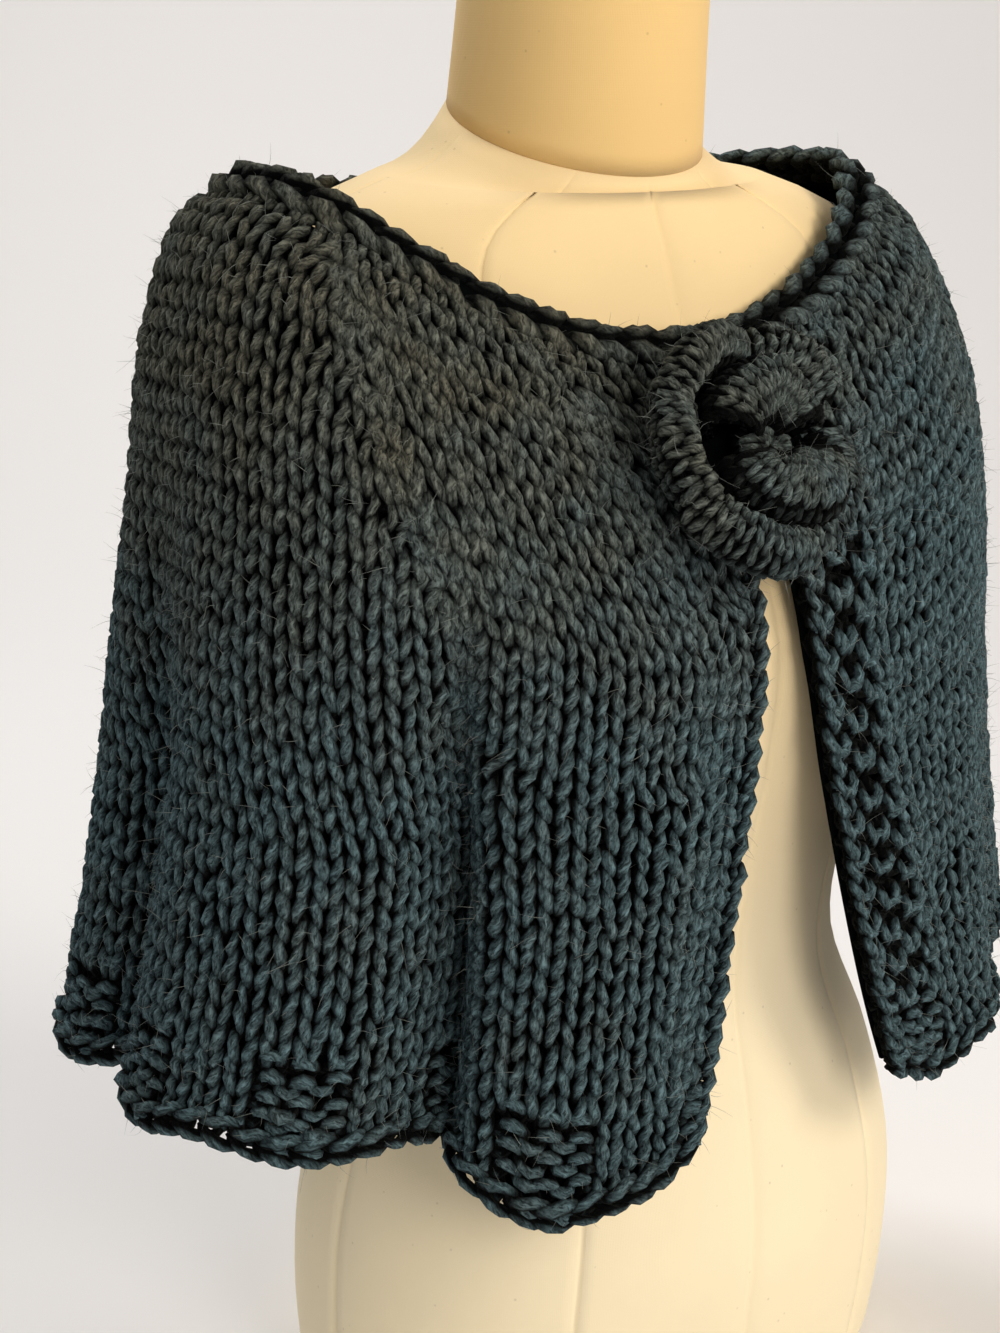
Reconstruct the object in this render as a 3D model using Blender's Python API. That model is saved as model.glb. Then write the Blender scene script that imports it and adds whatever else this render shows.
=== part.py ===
"""Hand-knitted shrug on a limbless dress form, in metres, +Z up.

The form stands on its flat base at z = 0 and faces -Y, so its own right side is -X. The shrug is knitted
from the neck down. Its cloth is one wall that hangs from the shoulders, cut along its increase lines into
the sections that a knitter works, and it is open down the front below a knitted rose.
"""

import math

import bmesh
import bpy
import numpy as np

# Driving dimensions.
SEAM_GAP = 0.0003
CLOTH_THICKNESS = 0.009
EDGE_THICKNESS = 0.013
EDGE_DEPTH = 0.016
EDGE_LIFT = 0.004
HEM_START = 0.885
RING_POINTS = 40
NECK_TOP = 0.735
NECK_RADIUS = 0.062
NECK_TOP_RADIUS = 0.058
NECK_CENTRE = 0.030
NECK_SEAM_HEIGHT = 0.630
NECK_SEAM_TILT = math.radians(20)
NECK_LEAN = math.radians(6)
ROSE_RADIUS = 0.050
PETAL_THICKNESS = 0.009

# The torso, ring by ring from the base to the shoulders: height, half width, how far the front and the
# back reach, the roundness of the outline (2 is an ellipse, more is squarer) and how far back its widest
# points are.
TORSO = (
    # height, half_width, front, back, roundness, middle
    (0.000, 0.156, -0.106, 0.140, 2.2, 0.000),
    (0.060, 0.160, -0.118, 0.142, 2.2, 0.000),
    (0.120, 0.156, -0.124, 0.132, 2.2, 0.000),
    (0.180, 0.140, -0.116, 0.108, 2.2, 0.000),
    (0.240, 0.118, -0.104, 0.088, 2.1, 0.000),
    (0.300, 0.123, -0.112, 0.090, 2.1, 0.000),
    (0.360, 0.139, -0.126, 0.100, 2.2, 0.000),
    (0.415, 0.150, -0.130, 0.109, 2.3, 0.004),
    (0.465, 0.158, -0.106, 0.115, 2.3, 0.010),
    (0.510, 0.165, -0.078, 0.115, 2.3, 0.016),
    (0.545, 0.168, -0.056, 0.111, 2.3, 0.020),
    (0.572, 0.166, -0.045, 0.104, 2.3, 0.024),
    (0.588, 0.156, -0.039, 0.097, 2.2, 0.026),
    (0.599, 0.136, -0.034, 0.092, 2.1, 0.028),
    (0.609, 0.106, -0.031, 0.090, 2.0, 0.030),
)

# The hanging cloth, ring by ring from the neckline (drop 0) to the hem (drop 1). Each ring has a height at
# the sides, the front and the back, a half width, how far it reaches to front and back, a roundness, a
# shift towards the left, how far back its widest points are, and how narrow the dip of its front is.
CLOTH = (
    # drop, side_z, front_z, back_z, half_width, front, back, roundness, shift, middle, scoop
    (0.00, 0.603, 0.530, 0.588, 0.165, -0.0710, 0.124, 2.2, -0.014, 0.020, 2.2),
    (0.05, 0.595, 0.513, 0.576, 0.181, -0.093, 0.135, 2.3, -0.015, 0.020, 2.2),
    (0.10, 0.578, 0.496, 0.557, 0.192, -0.106, 0.142, 2.3, -0.014, 0.020, 2.2),
    (0.16, 0.548, 0.473, 0.532, 0.200, -0.122, 0.147, 2.4, -0.014, 0.018, 2.2),
    (0.30, 0.488, 0.424, 0.482, 0.208, -0.142, 0.154, 2.4, -0.015, 0.016, 2.4),
    (0.50, 0.402, 0.348, 0.402, 0.220, -0.148, 0.160, 2.4, -0.017, 0.014, 2.8),
    (0.75, 0.305, 0.265, 0.302, 0.236, -0.150, 0.166, 2.4, -0.018, 0.012, 3.4),
    (1.00, 0.213, 0.181, 0.211, 0.255, -0.152, 0.172, 2.4, -0.019, 0.012, 4.0),
)

# Soft troughs (depth below zero) and ridges that run down the cloth: the angle round the body (0 is the
# front, positive to the left), half width in degrees, depth, and the drops where each starts and is full.
FOLDS = (
    # angle, half_width, depth, starts, full
    (-39, 13, -0.026, 0.22, 0.80),
    (-93, 10, -0.013, 0.16, 0.60),
    (-128, 12, -0.012, 0.30, 0.90),
    (-158, 11, 0.010, 0.20, 0.80),
    (178, 12, -0.014, 0.18, 0.70),
    (146, 12, 0.010, 0.25, 0.90),
    (118, 11, -0.013, 0.20, 0.80),
    (84, 10, 0.008, 0.30, 0.90),
    (52, 12, -0.018, 0.25, 0.85),
    (-26, 10, 0.006, 0.45, 1.00),
    (30, 9, 0.006, 0.45, 1.00),
)

# Where the hem hangs lower or is rounded up: the angle, half width in degrees and rise.
HEM_RISES = (
    # angle, half_width, rise
    (-22, 17, -0.017),
    (-5, 5, 0.024),
    (14, 5, 0.014),
)

# Lines that part the sections, as angles round the body at five drops.
SEAM_DROPS = (0.00, 0.15, 0.34, 0.65, 1.00)
SEAMS = {
    "right_edge": (-2.0, -1.0, -1.5, -4.0, -6.5),
    "right_band": (-27.0, -13.5, -6.5, -9.0, -11.0),
    "right_raglan": (-62.0, -51.0, -40.0, -35.0, -34.0),
    "back_right": (-112.0, -121.0, -129.0, -131.0, -132.0),
    "back_left": (-248.0, -239.0, -231.0, -229.0, -228.0),
    "left_raglan": (-298.0, -309.0, -320.0, -325.0, -326.0),
    "left_band": (-333.0, -345.0, -348.0, -341.0, -334.0),
    "left_edge": (-357.5, -358.0, -357.0, -352.0, -346.0),
}

CHARCOAL = (0.030, 0.034, 0.038)
LINEN = (0.78, 0.62, 0.40)
LINEN_GREY = (0.60, 0.52, 0.38)


def clear_scene():
    for thing in list(bpy.data.objects):
        bpy.data.objects.remove(thing, do_unlink=True)


def material(name, colour, roughness, metallic=0.0):
    made = bpy.data.materials.new(name)
    made.use_nodes = True
    shader = made.node_tree.nodes["Principled BSDF"]
    shader.inputs["Base Color"].default_value = (*colour, 1.0)
    shader.inputs["Roughness"].default_value = roughness
    shader.inputs["Metallic"].default_value = metallic
    return made


def row_at(table, position):
    """The table's columns at a position of its first column, on one smooth curve through the rows."""
    rows = np.array(table)
    stations = rows[:, 0]
    position = min(max(position, stations[0]), stations[-1])
    i = min(int(np.searchsorted(stations, position, side="right")) - 1, len(rows) - 2)
    span = stations[i + 1] - stations[i]
    slopes = np.gradient(rows, stations, axis=0)
    t = (position - stations[i]) / span
    return (
        (2 * t**3 - 3 * t**2 + 1) * rows[i]
        + (t**3 - 2 * t**2 + t) * span * slopes[i]
        + (-2 * t**3 + 3 * t**2) * rows[i + 1]
        + (t**3 - t**2) * span * slopes[i + 1]
    )[1:]


def outline(angle, half_width, front, back, roundness, middle):
    """A point of a body outline: the angle is 0 at the front (-Y) and grows towards the left (+X)."""
    sine, cosine = math.sin(angle), math.cos(angle)
    reach = front if cosine > 0 else back
    x = half_width * math.copysign(abs(sine) ** (2 / roundness), sine)
    y = middle + (reach - middle) * abs(cosine) ** (2 / roundness)
    return x, y


def fold_push(angle, drop):
    """How far the folds move the cloth outwards at this angle and drop."""
    push = 0.0
    for place, half_width, depth, starts, full in FOLDS:
        away = (math.degrees(angle) - place + 180) % 360 - 180
        growth = min(max((drop - starts) / (full - starts), 0.0), 1.0)
        push += depth * growth**1.3 * math.exp(-((away / half_width) ** 2))
    return push


def cloth_point(angle, drop):
    """A point of the cloth's middle surface. Above the neckline and below the hem it runs straight on."""
    inside = min(max(drop, 0.0), 1.0)
    side_z, front_z, back_z, half_width, front, back, roundness, shift, middle, scoop = row_at(CLOTH, inside)
    x, y = outline(angle, half_width, front, back, roundness, middle)
    cosine = math.cos(angle)
    end_z = front_z if cosine > 0 else back_z
    z = side_z + (end_z - side_z) * abs(cosine) ** scoop
    for place, width, rise in HEM_RISES:
        away = (math.degrees(angle) - place + 180) % 360 - 180
        z += rise * inside**6 * math.exp(-((away / width) ** 2))
    push = fold_push(angle, inside)
    reach = math.hypot(x, y)
    x, y = x * (1 + push / reach) + shift, y * (1 + push / reach)
    return np.array((x, y, z))


def cloth_frame(angle, drop):
    """The middle surface's point, its unit normal outwards and its unit direction down the cloth."""
    step_angle, step_drop = 0.02, 0.01
    low, high = max(drop - step_drop, 0.0), min(drop + step_drop, 1.0)
    around = cloth_point(angle + step_angle, drop) - cloth_point(angle - step_angle, drop)
    down = cloth_point(angle, high) - cloth_point(angle, low)
    normal = np.cross(around, down)
    normal = -normal / np.linalg.norm(normal)
    outward = cloth_point(angle, drop) - np.array((0, 0.02, 0))
    if normal[:2] @ outward[:2] < 0:
        normal = -normal
    return cloth_point(angle, drop), normal, down / np.linalg.norm(down)


def seam_angle(name, drop):
    return math.radians(float(np.interp(drop, SEAM_DROPS, SEAMS[name])))


def add_object(name, mesh_vertices, faces, finish, group):
    mesh = bpy.data.meshes.new(name)
    mesh.from_pydata([tuple(map(float, v)) for v in mesh_vertices], [], faces)
    mesh.materials.append(finish)
    body = bmesh.new()
    body.from_mesh(mesh)
    bmesh.ops.recalc_face_normals(body, faces=body.faces)
    body.to_mesh(mesh)
    body.free()
    mesh.shade_smooth()
    mesh.set_sharp_from_angle(angle=math.radians(40))
    thing = bpy.data.objects.new(name, mesh)
    group.objects.link(thing)
    return thing


def wall(name, grid, normals, outer, inner, finish, group):
    """A closed wall on a grid of points, between two offsets along each point's own normal."""
    rows, columns = grid.shape[:2]
    count = rows * columns
    skins = [(grid + normals * offset).reshape(-1, 3) for offset in (outer, inner)]
    faces = []
    for r in range(rows - 1):
        for c in range(columns - 1):
            a = r * columns + c
            quad = (a, a + 1, a + columns + 1, a + columns)
            faces.append(quad)
            faces.append(tuple(count + i for i in reversed(quad)))
    sides = [(r * columns, (r + 1) * columns) for r in range(rows - 1)]
    ends = [(c, c + 1) for c in range(columns - 1)]
    rim = sides + [(a + columns - 1, b + columns - 1) for a, b in sides]
    rim += ends + [(a + count - columns, b + count - columns) for a, b in ends]
    for here, after in rim:
        # Neighbours along a seam share this diagonal, so that their edges stay parallel.
        faces.append((here, after, count + after))
        faces.append((here, count + after, count + here))
    return add_object(name, np.concatenate(skins), faces, finish, group)


def seam_angles(seams, drop):
    """The angles of a row of grid points between seams, given as (seam, columns to the next one)."""
    angles = []
    for (name, columns), (following, unused) in zip(seams, seams[1:]):
        first, last = seam_angle(name, drop), seam_angle(following, drop)
        angles += [first + (last - first) * c / columns for c in range(columns)]
    return angles + [seam_angle(seams[-1][0], drop)]


def cloth_panel(name, seams, top, bottom, rows, finish, group):
    """One section of the cloth, half a seam gap short of each of its edges."""
    frames = []
    for r in range(rows + 1):
        drop = top + (bottom - top) * r / rows
        frames.append([cloth_frame(angle, drop)[:2] for angle in seam_angles(seams, drop)])
    frames = np.array(frames)
    grid, normals = frames[:, :, 0], frames[:, :, 1]
    trim_edges(grid)
    return wall(name, grid, normals, CLOTH_THICKNESS / 2, -CLOTH_THICKNESS / 2, finish, group)


def trim_edges(grid):
    """Moves each edge of a grid inwards by half a seam gap."""
    for edge, beside in ((0, 1), (-1, -2)):
        inward = grid[:, beside] - grid[:, edge]
        length = np.linalg.norm(inward, axis=1, keepdims=True)
        grid[:, edge] += inward / length * SEAM_GAP / 2
    for edge, beside in ((0, 1), (-1, -2)):
        inward = grid[beside] - grid[edge]
        length = np.linalg.norm(inward, axis=1, keepdims=True)
        grid[edge] += inward / length * SEAM_GAP / 2


def neck_edging(name, seams, finish, group):
    """A stretch of the chain edge: a thick rounded strip that stands on the top of the sections."""
    sides = 8
    angles = seam_angles(seams, 0.0)
    end_gap = SEAM_GAP / 2 / CLOTH[0][4]
    angles[0] -= end_gap
    angles[-1] += end_gap
    rings = []
    for angle in angles:
        point, normal, down = cloth_frame(angle, 0.0)
        centre = point - down * (EDGE_DEPTH / 2 + SEAM_GAP) + normal * EDGE_LIFT
        ring = []
        for s in range(sides):
            turn = 2 * math.pi * (s + 0.5) / sides
            across = EDGE_THICKNESS / 2 * math.cos(turn) / math.cos(math.pi / sides)
            along = EDGE_DEPTH / 2 * math.sin(turn) / math.cos(math.pi / sides)
            ring.append(centre + normal * across + down * along)
        rings.append(ring)
    return loft(name, rings, finish, group)


def loft(name, rings, finish, group):
    """A solid through closed rings with the same number of points, capped flat at both ends."""
    sides = len(rings[0])
    faces = []
    for r in range(len(rings) - 1):
        for s in range(sides):
            here, after = r * sides + s, r * sides + (s + 1) % sides
            faces.append((here, after, after + sides, here + sides))
    faces.append(tuple(range(sides)))
    faces.append(tuple((len(rings) - 1) * sides + s for s in range(sides)))
    return add_object(name, np.array([p for ring in rings for p in ring]), faces, finish, group)


def neck_ring(height, radius, centre_y, tilt, points):
    """A round ring whose front is lower by the tilt."""
    ring = []
    for i in range(points):
        angle = 2 * math.pi * i / points
        x, forward = radius * math.sin(angle), radius * math.cos(angle)
        ring.append((x, centre_y - forward * math.cos(tilt), height - forward * math.sin(tilt)))
    return ring


def torso(finish, group):
    """The torso: rings from the flat base to the shoulders, then over to the tilted neck seam."""
    heights = [row[0] for row in TORSO]
    levels = []
    for low, high in zip(heights, heights[1:]):
        steps = 2 if high - low > 0.03 else 1
        levels += [low + (high - low) * s / steps for s in range(steps)]
    levels.append(heights[-1])
    rings = []
    for level in levels:
        half_width, front, back, roundness, middle = row_at(TORSO, level)
        ring = []
        for i in range(RING_POINTS):
            x, y = outline(2 * math.pi * i / RING_POINTS, half_width, front, back, roundness, middle)
            lift = 0.10 * max(0.0, (level - 0.50) / 0.10)
            ring.append((x, y, level + lift * (y - NECK_CENTRE)))
        rings.append(ring)
    seam = neck_ring(NECK_SEAM_HEIGHT, NECK_RADIUS, NECK_CENTRE, NECK_SEAM_TILT, RING_POINTS)
    last = np.array(rings[-1])
    between = 0.5 * last + 0.5 * np.array(seam)
    between[:, 2] -= 0.006
    rings.append([tuple(p) for p in between])
    rings.append(seam)
    return loft("torso", rings, finish, group)


def neck(finish, group):
    """The neck, which leans forward a little and ends in a plain rounded top."""
    rings = []
    start = NECK_SEAM_HEIGHT + SEAM_GAP
    for part in (0.0, 0.3, 0.6, 0.9):
        height = start + (NECK_TOP - 0.008 - start) * part
        radius = NECK_RADIUS + (NECK_TOP_RADIUS - NECK_RADIUS) * math.sin(part * math.pi / 2)
        centre = NECK_CENTRE - (height - start) * math.tan(NECK_LEAN)
        tilt = NECK_SEAM_TILT * (1 - part)
        rings.append(neck_ring(height, radius, centre, tilt, RING_POINTS))
    centre = NECK_CENTRE - (NECK_TOP - start) * math.tan(NECK_LEAN)
    for down, inset in ((0.006, 0.000), (0.002, 0.003), (0.000, 0.009)):
        rings.append(neck_ring(NECK_TOP - down, NECK_TOP_RADIUS - inset, centre, 0.0, RING_POINTS))
    return loft("neck", rings, finish, group)


# The rose: each petal is a curved wall that stands on the base and leans outwards. Angles are measured in
# the plane of the rose from its own upward direction, clockwise as seen from in front.
PETALS = (
    # name, middle, span, foot_radius, rim_radius, height
    ("rose_outer_strip", 245, 86, 0.036, 0.047, 0.026),
    ("rose_upper_left_petal", 317, 48, 0.034, 0.045, 0.031),
    ("rose_upper_right_petal", 25, 78, 0.033, 0.044, 0.034),
    ("rose_right_petal", 96, 54, 0.035, 0.046, 0.030),
    ("rose_bottom_petal", 162, 66, 0.036, 0.049, 0.025),
    ("rose_inner_cup", 190, 150, 0.019, 0.028, 0.038),
    ("rose_inner_curl", 20, 150, 0.018, 0.026, 0.041),
)
ROSE_DROP = 0.135
ROSE_ANGLE = math.radians(-1)
ROSE_FACE = CLOTH_THICKNESS / 2 + 0.006


def rose_frame():
    """The rose's middle on the cloth, its outward direction, its upward direction and its right."""
    point, normal, down = cloth_frame(ROSE_ANGLE, ROSE_DROP)
    right = np.cross(down, normal)
    right = right / np.linalg.norm(right)
    up = np.cross(right, normal)
    if up[2] < 0:
        up = -up
    return point, normal, up, right


def rose_base(finish, group):
    """A round pad that the petals are sewn to: its back follows the cloth and its face is flat."""
    rings, across = 5, 20
    point, normal, up, right = rose_frame()
    places = [(0.0, 0.0)]
    for ring in range(rings, 0, -1):
        radius = ROSE_RADIUS * 0.84 * ring / rings
        turns = [2 * math.pi * i / across for i in range(across)]
        places = [(radius * math.cos(t), radius * math.sin(t)) for t in turns] + places
    back = [on_cloth(point, right, up, x, y, 2 * SEAM_GAP) for x, y in places]
    face = [point + right * x + up * y + normal * ROSE_FACE for x, y in places]
    size = rings * across + 1
    faces = []
    for layer in range(2):
        start = layer * size
        for ring in range(rings - 1):
            for i in range(across):
                a, b = start + ring * across + i, start + ring * across + (i + 1) % across
                faces.append((a, b, b + across, a + across))
        for i in range(across):
            faces.append((start + i, start + (i + 1) % across, start + size - 1))
    rim = (rings - 1) * across
    for i in range(across):
        a, b = rim + i, rim + (i + 1) % across
        faces.append((a, b, b + size, a + size))
    return add_object("rose_base", np.array(back + face), faces, finish, group)


def on_cloth(point, right, up, across, along, offset):
    """The point of the cloth's outer face that lies over a place in the rose's plane, moved out."""
    angle, drop = ROSE_ANGLE, ROSE_DROP
    target = point + right * across + up * along
    for step in range(12):
        here, normal, down = cloth_frame(angle, max(drop, 0.0))
        ahead = cloth_point(angle + 0.02, max(drop, 0.0)) - here
        miss = target - here
        angle += 0.02 * float(miss @ ahead) / float(ahead @ ahead)
        fall = cloth_point(angle, max(drop, 0.0) + 0.02) - cloth_point(angle, max(drop, 0.0))
        drop = max(drop + 0.02 * float(miss @ fall) / float(fall @ fall), 0.0)
    here, normal, down = cloth_frame(angle, drop)
    return here + normal * (CLOTH_THICKNESS / 2 + offset)


def petal(row, finish, group):
    """One petal: a wall along an arc of the rose, with a wavy rim that curls outwards."""
    name, middle, span, foot_radius, rim_radius, height = row
    point, normal, up, right = rose_frame()
    start = ROSE_FACE + SEAM_GAP
    columns, rows = max(6, int(span / 12)), 4
    grid = np.zeros((rows + 1, columns + 1, 3))
    normals = np.zeros_like(grid)
    for r in range(rows + 1):
        rise = r / rows
        for c in range(columns + 1):
            part = c / columns
            turn = math.radians(middle + (part - 0.5) * span)
            taper = math.sin(math.pi * (0.12 + 0.76 * part))
            radius = foot_radius + (rim_radius - foot_radius) * rise**1.6
            away = right * math.sin(turn) + up * math.cos(turn)
            grid[r, c] = point + away * radius + normal * (start + height * rise * (0.55 + 0.45 * taper))
            lean = 1.5 * (rim_radius - foot_radius) / height * rise
            across = away - normal * lean
            normals[r, c] = across / np.linalg.norm(across)
    return wall(name, grid, normals, PETAL_THICKNESS / 2, -PETAL_THICKNESS / 2, finish, group)


def rose_bud(finish, group):
    """The rolled end of the strip in the middle of the rose."""
    point, normal, up, right = rose_frame()
    start = ROSE_FACE + SEAM_GAP
    rings = []
    for rise, radius in ((0.0, 0.009), (0.012, 0.011), (0.026, 0.011), (0.034, 0.008), (0.038, 0.004)):
        ring = []
        for i in range(14):
            turn = 2 * math.pi * i / 14
            away = right * math.cos(turn) + up * math.sin(turn)
            ring.append(point + normal * (start + rise) + away * radius)
        rings.append(ring)
    return loft("rose_bud", rings, finish, group)


def build():
    clear_scene()
    group = bpy.data.collections.new("knitted_shrug_on_dress_form")
    bpy.context.scene.collection.children.link(group)
    yarn = material("charcoal_bulky_yarn", CHARCOAL, 0.95)
    linen = material("cream_linen", LINEN, 0.85)
    grey_linen = material("greyed_linen", LINEN_GREY, 0.85)

    torso(linen, group)
    neck(grey_linen, group)

    right_front = (("right_edge", 3), ("right_band", 7), ("right_raglan", 0))
    right_shoulder = (("right_raglan", 12), ("back_right", 0))
    back = (("back_right", 20), ("back_left", 0))
    left_shoulder = (("back_left", 12), ("left_raglan", 0))
    left_front = (("left_raglan", 7), ("left_band", 3), ("left_edge", 0))

    sections = (
        ("right_front_band", right_front[:2]),
        ("right_front", right_front[1:]),
        ("right_shoulder", right_shoulder),
        ("back", back),
        ("left_shoulder", left_shoulder),
        ("left_front", left_front[:2]),
        ("left_front_band", left_front[1:]),
    )
    for name, seams in sections:
        cloth_panel(name, seams, 0.0, HEM_START, 16, yarn, group)

    stretches = (
        ("right_front", right_front),
        ("right_shoulder", right_shoulder),
        ("back", back),
        ("left_shoulder", left_shoulder),
        ("left_front", left_front),
    )
    for name, seams in stretches:
        cloth_panel("hem_" + name, seams, HEM_START, 1.0, 3, yarn, group)
        neck_edging("neck_edge_" + name, seams, yarn, group)

    rose_base(yarn, group)
    for row in PETALS:
        petal(row, yarn, group)
    rose_bud(yarn, group)


build()
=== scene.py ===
"""The looks of a hand-knitted shrug on a limbless dress form, in metres, in the frame of its CAD model."""

import math

import bpy
import numpy as np
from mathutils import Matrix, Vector


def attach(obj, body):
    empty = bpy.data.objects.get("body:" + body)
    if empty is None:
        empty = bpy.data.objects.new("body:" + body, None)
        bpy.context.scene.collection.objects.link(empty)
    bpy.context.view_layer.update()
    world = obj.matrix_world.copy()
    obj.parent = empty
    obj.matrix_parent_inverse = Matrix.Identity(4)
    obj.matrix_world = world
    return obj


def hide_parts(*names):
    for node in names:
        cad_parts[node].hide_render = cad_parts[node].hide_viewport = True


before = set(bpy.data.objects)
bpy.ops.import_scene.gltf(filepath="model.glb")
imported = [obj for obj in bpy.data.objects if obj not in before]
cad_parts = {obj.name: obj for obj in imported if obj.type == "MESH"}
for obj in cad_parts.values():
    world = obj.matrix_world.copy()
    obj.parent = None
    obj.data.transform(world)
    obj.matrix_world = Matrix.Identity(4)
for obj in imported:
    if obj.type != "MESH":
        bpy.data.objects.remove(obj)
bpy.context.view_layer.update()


# ---- Camera ----------------------------------------------------------------------------------------
# A portrait lens at chest height looks at the form from its right front, a little from above.
AIM = Vector((-0.0433, 0.0292, 0.372))
VIEW_TURN = math.radians(-34)
VIEW_RISE = math.radians(14.6)
VIEW_DISTANCE = 1.15
LENS_MM = 63.2
SENSOR_MM = 36.0

lens = bpy.data.cameras.new("portrait_camera")
lens.lens = LENS_MM
lens.sensor_width = SENSOR_MM
camera = bpy.data.objects.new("portrait_camera", lens)
bpy.context.scene.collection.objects.link(camera)
back_from_aim = Vector((
    math.sin(VIEW_TURN) * math.cos(VIEW_RISE),
    -math.cos(VIEW_TURN) * math.cos(VIEW_RISE),
    math.sin(VIEW_RISE),
))
camera.location = AIM + back_from_aim * VIEW_DISTANCE
camera.rotation_mode = "QUATERNION"
camera.rotation_quaternion = back_from_aim.to_track_quat("Z", "Y")
bpy.context.scene.camera = camera
bpy.context.scene.view_settings.view_transform = "Standard"


# ---- Studio ----------------------------------------------------------------------------------------
# A sheet of pale seamless paper lies on the floor and sweeps up behind the form. A soft box is high in
# front on the form's left, a second stands in front at chest height, and a third lights the paper.
PAPER_WIDTH = 9.0
PAPER_FRONT = -3.0
PAPER_BACK = 2.6
PAPER_HEIGHT = 4.0
SWEEP_RADIUS = 1.2
SWEEP_STEPS = 12
LAMPS_AIM = Vector((0, 0, 0.35))


def linear_colour(hex_text):
    """An sRGB hex colour as linear RGBA."""
    channels = [int(hex_text[i:i + 2], 16) / 255 for i in (1, 3, 5)]
    return (*[c / 12.92 if c <= 0.04045 else ((c + 0.055) / 1.055) ** 2.4 for c in channels], 1.0)


def add_node(tree, kind, settings=(), links=()):
    """Adds a shader node. Settings are (attribute or input, value). Links are (input, source), where the
    source is an output socket or a node that gives its first output."""
    node = tree.nodes.new("ShaderNode" + kind)
    for name, value in settings:
        if isinstance(name, int) or name in node.inputs:
            node.inputs[name].default_value = value
        else:
            setattr(node, name, value)
    for name, source in links:
        socket = source.outputs[0] if hasattr(source, "outputs") else source
        tree.links.new(socket, node.inputs[name])
    return node


def new_material(name, colour, roughness, settings=()):
    """A material with one Principled shader. Its tree and shader come back with it."""
    made = bpy.data.materials.new(name)
    made.use_nodes = True
    shader = made.node_tree.nodes["Principled BSDF"]
    shader.inputs["Base Color"].default_value = linear_colour(colour)
    shader.inputs["Roughness"].default_value = roughness
    for setting, value in settings:
        shader.inputs[setting].default_value = value
    return made, made.node_tree, shader


def add_mesh(name, points, faces, finish):
    """A smooth-shaded mesh object with one material."""
    mesh = bpy.data.meshes.new(name)
    mesh.from_pydata(np.asarray(points).tolist(), [], faces)
    mesh.materials.append(finish)
    mesh.shade_smooth()
    thing = bpy.data.objects.new(name, mesh)
    bpy.context.scene.collection.objects.link(thing)
    return thing


paper = new_material("seamless_paper", "#f3f2f3", 0.9)[0]
sweep = [(PAPER_FRONT, 0.0), (PAPER_BACK - SWEEP_RADIUS, 0.0)]
for step in range(1, SWEEP_STEPS + 1):
    bend = math.pi / 2 * step / SWEEP_STEPS
    sweep.append((
        PAPER_BACK - SWEEP_RADIUS + SWEEP_RADIUS * math.sin(bend),
        SWEEP_RADIUS - SWEEP_RADIUS * math.cos(bend),
    ))
sweep.append((PAPER_BACK, PAPER_HEIGHT))
# The sweep stands square to the camera.
across = Vector((math.cos(VIEW_TURN), math.sin(VIEW_TURN), 0))
away = Vector((-math.sin(VIEW_TURN), math.cos(VIEW_TURN), 0))
paper_points = []
for along, height in sweep:
    for side in (-0.5, 0.5):
        paper_points.append(across * side * PAPER_WIDTH + away * along + Vector((0, 0, height)))
paper_faces = [(2 * i, 2 * i + 1, 2 * i + 3, 2 * i + 2) for i in range(len(sweep) - 1)]
floor = add_mesh("paper_sweep", [tuple(p) for p in paper_points], paper_faces, paper)


def soft_box(name, place, size, watts, colour):
    """A round soft light that faces the middle of the form."""
    light = bpy.data.lights.new(name, "AREA")
    light.shape = "DISK"
    light.size = size
    light.energy = watts
    light.color = linear_colour(colour)[:3]
    lamp = bpy.data.objects.new(name, light)
    lamp.location = place
    lamp.rotation_mode = "QUATERNION"
    lamp.rotation_quaternion = (Vector(place) - LAMPS_AIM).to_track_quat("Z", "Y")
    bpy.context.scene.collection.objects.link(lamp)


soft_box("key_soft_box", (1.00, -1.88, 1.70), 0.9, 24, "#fff3e4")
soft_box("front_soft_box", (-0.36, -2.45, 1.15), 1.1, 25, "#fff6ec")
soft_box("paper_soft_box", (-0.1, 1.5, 2.4), 1.4, 35, "#fffdfb")
room = bpy.data.worlds.new("pale_room")
room.use_nodes = True
room_light = room.node_tree.nodes["Background"]
room_light.inputs["Color"].default_value = linear_colour("#f0eee9")
room_light.inputs["Strength"].default_value = 0.38
bpy.context.scene.world = room


# ---- Dress form ------------------------------------------------------------------------------------
# The torso is padded card under a tightly drawn linen cover, cut in eight panels, so seams run down the
# middle of the front and back, over the bust and at the sides. The neck is capped in greyer linen.
TORSO = (
    # height, half_width, front, back, roundness, middle
    (0.000, 0.156, -0.106, 0.140, 2.2, 0.000),
    (0.060, 0.160, -0.118, 0.142, 2.2, 0.000),
    (0.120, 0.156, -0.124, 0.132, 2.2, 0.000),
    (0.180, 0.140, -0.116, 0.108, 2.2, 0.000),
    (0.240, 0.118, -0.104, 0.088, 2.1, 0.000),
    (0.300, 0.123, -0.112, 0.090, 2.1, 0.000),
    (0.360, 0.139, -0.126, 0.100, 2.2, 0.000),
    (0.415, 0.150, -0.130, 0.109, 2.3, 0.004),
    (0.465, 0.158, -0.106, 0.115, 2.3, 0.010),
    (0.510, 0.165, -0.078, 0.115, 2.3, 0.016),
    (0.545, 0.168, -0.056, 0.111, 2.3, 0.020),
    (0.572, 0.166, -0.045, 0.104, 2.3, 0.024),
    (0.588, 0.156, -0.039, 0.097, 2.2, 0.026),
    (0.599, 0.136, -0.034, 0.092, 2.1, 0.028),
    (0.609, 0.106, -0.031, 0.090, 2.0, 0.030),
)
NECK_TOP = 0.735
NECK_RADIUS = 0.062
NECK_TOP_RADIUS = 0.058
NECK_CENTRE = 0.030
NECK_SEAM_HEIGHT = 0.630
NECK_SEAM_TILT = math.radians(20)
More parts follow.
